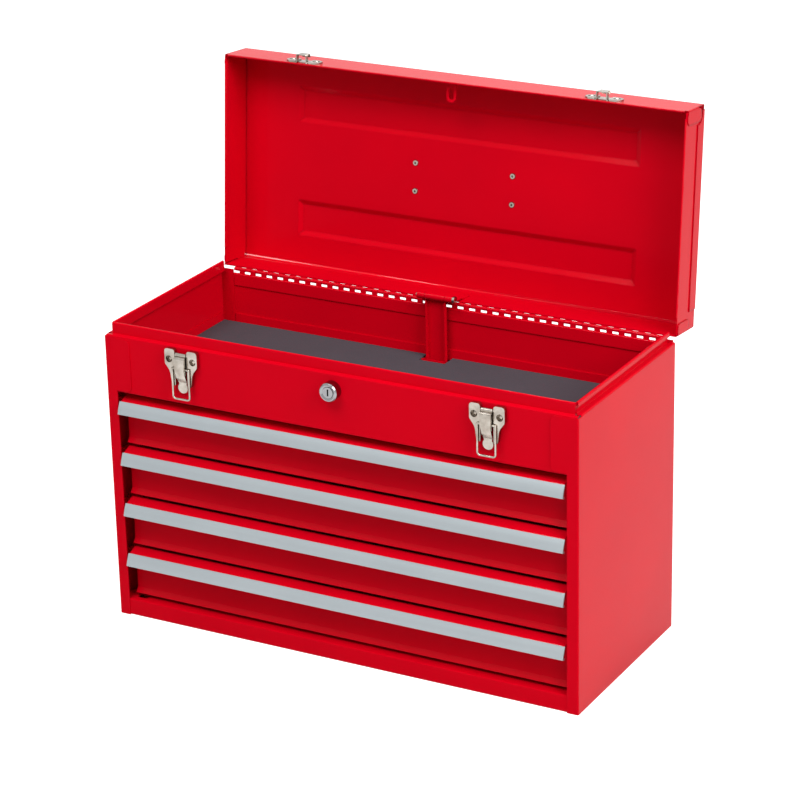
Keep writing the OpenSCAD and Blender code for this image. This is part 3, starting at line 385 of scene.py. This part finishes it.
# Enamel that fills the slit between end cap and rear wall: a rod along the lid's height. With u
# from -1 to 1 along it and n the bluntness, its radius closes at both ends as (1 - u^n)^(1/n).
def makeCornerSeam(side, look):
    along = np.linspace(-1, 1, look["lengthSteps"])[:, None]
    angle = np.linspace(0, 2 * math.pi, look["turnSteps"])[None, :]
    blunt = look["bluntness"]
    radius = look["radius"] * np.clip(1 - along ** blunt, 0, 1) ** (1 / blunt)
    x = side * look["x"] + radius * np.cos(angle)
    y = look["y"] + radius * np.sin(angle)
    z = (look["low"] + look["high"]) / 2 + along * (look["high"] - look["low"]) / 2 + 0 * angle
    openY, openZ = withLid(y, z)
    name = "cornerSeamLeft" if side < 0 else "cornerSeamRight"
    seam = pieceFromGrid(name, np.stack([x, openY, openZ], 2), finishes["red_paint"])
    tidyShell(seam)
    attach(seam, "lid")


for side in (-1, 1):
    makeCornerSeam(side, cornerSeam)
makeLidFold(lidFold)
print("round inside the lid's rear fold, seams in its corners")


def stageFinish(look):
    s = Sheet("paleFloor")
    s.tree.nodes.remove(s.shader)
    seen = s.add("ShaderNodeLightPath", {}, {}, "Is Camera Ray")
    seen = seen + s.add("ShaderNodeLightPath", {}, {}, "Is Glossy Ray")
    seen = (seen + s.add("ShaderNodeLightPath", {}, {}, "Is Transmission Ray")).clamped()
    diffuse = s.add("ShaderNodeBsdfDiffuse", {}, {"Color": (look["white"],) * 3 + (1,)})
    glow = s.add("ShaderNodeEmission", {}, {"Color": (1, 1, 1, 1), "Strength": seen * look["glow"]})
    both = s.add("ShaderNodeAddShader", {}, {0: diffuse, 1: glow})
    s.tree.links.new(both.socket, s.out.inputs[0])
    return s.material


# A flat square floor: x and y run evenly from -floor to floor, and z is zero everywhere.
def makeFloor(look):
    across = np.linspace(-look["floor"], look["floor"], 3)
    x, y = np.meshgrid(across, across)
    floor = pieceFromGrid("paleFloor", np.stack([x, y, x * 0], 2), stageFinish(look))


makeFloor(stageLook)

worldLook = {"light": 0.33, "seen": 1.0}
world = bpy.data.worlds.new("studio")
bpy.context.scene.world = world
world.use_nodes = True
worldNodes = world.node_tree.nodes
worldNodes.clear()
background = worldNodes.new("ShaderNodeBackground")
background.inputs["Color"].default_value = (1, 1, 1, 1)
path = worldNodes.new("ShaderNodeLightPath")
either = worldNodes.new("ShaderNodeMath")
either.operation = "MAXIMUM"
level = worldNodes.new("ShaderNodeMapRange")
level.inputs["To Min"].default_value = worldLook["light"]
level.inputs["To Max"].default_value = worldLook["seen"]
worldOut = worldNodes.new("ShaderNodeOutputWorld")
worldLink = world.node_tree.links.new
worldLink(path.outputs["Is Camera Ray"], either.inputs[0])
worldLink(path.outputs["Is Glossy Ray"], either.inputs[1])
worldLink(either.outputs[0], level.inputs["Value"])
worldLink(level.outputs[0], background.inputs["Strength"])
worldLink(background.outputs[0], worldOut.inputs[0])

lamps = [
    {"name": "keyRight", "place": (1.6, -0.5, 1.6), "size": 1.2, "watts": 42.0},
    {"name": "frontHigh", "place": (-0.3, -1.4, 2.4), "size": 1.2, "watts": 42.0},
    {"name": "topBack", "place": (-0.4, 1.8, 1.9), "size": 1.2, "watts": 26.0},
]
lampTarget = (0.0, 0.0, 0.25)


def makeLamp(look):
    data = bpy.data.lights.new(look["name"], "AREA")
    data.shape = "SQUARE"
    data.size = look["size"]
    data.energy = look["watts"]
    lamp = bpy.data.objects.new(look["name"], data)
    bpy.context.scene.collection.objects.link(lamp)
    lamp.location = look["place"]
    aim = Vector(lampTarget) - lamp.location
    lamp.rotation_euler = aim.to_track_quat("-Z", "Y").to_euler()


for look in lamps:
    makeLamp(look)

view = {
    "around": 29.0004, "up": 21.4339, "roll": -1.2867, "distance": 2.98127,
    "target": (0.01254, 0.0, 0.24152), "focalPixels": 3015.45, "imagePixels": 800,
    "sensorWidth": 36.0, "clipEnd": 20.0,
}


# The camera stands at a distance from the target, looks at it and is rolled a little.
def makeCamera(look):
    around, up, roll = (math.radians(look[key]) for key in ("around", "up", "roll"))
    outward = Vector((math.sin(around) * math.cos(up), -math.cos(around) * math.cos(up), math.sin(up)))
    right = (-outward).cross(Vector((0, 0, 1))).normalized()
    top = right.cross(-outward)
    rightTurned = right * math.cos(roll) + top * math.sin(roll)
    topTurned = top * math.cos(roll) - right * math.sin(roll)
    data = bpy.data.cameras.new("photoView")
    data.sensor_width = look["sensorWidth"]
    data.lens = look["focalPixels"] / look["imagePixels"] * look["sensorWidth"]
    data.clip_end = look["clipEnd"]
    camera = bpy.data.objects.new("photoView", data)
    bpy.context.scene.collection.objects.link(camera)
    turn = Matrix((rightTurned, topTurned, outward)).transposed().to_4x4()
    camera.matrix_world = Matrix.Translation(Vector(look["target"]) + outward * look["distance"]) @ turn
    bpy.context.scene.camera = camera


makeCamera(view)
bpy.context.scene.view_settings.view_transform = "Standard"
print("stage, lamps and camera set")
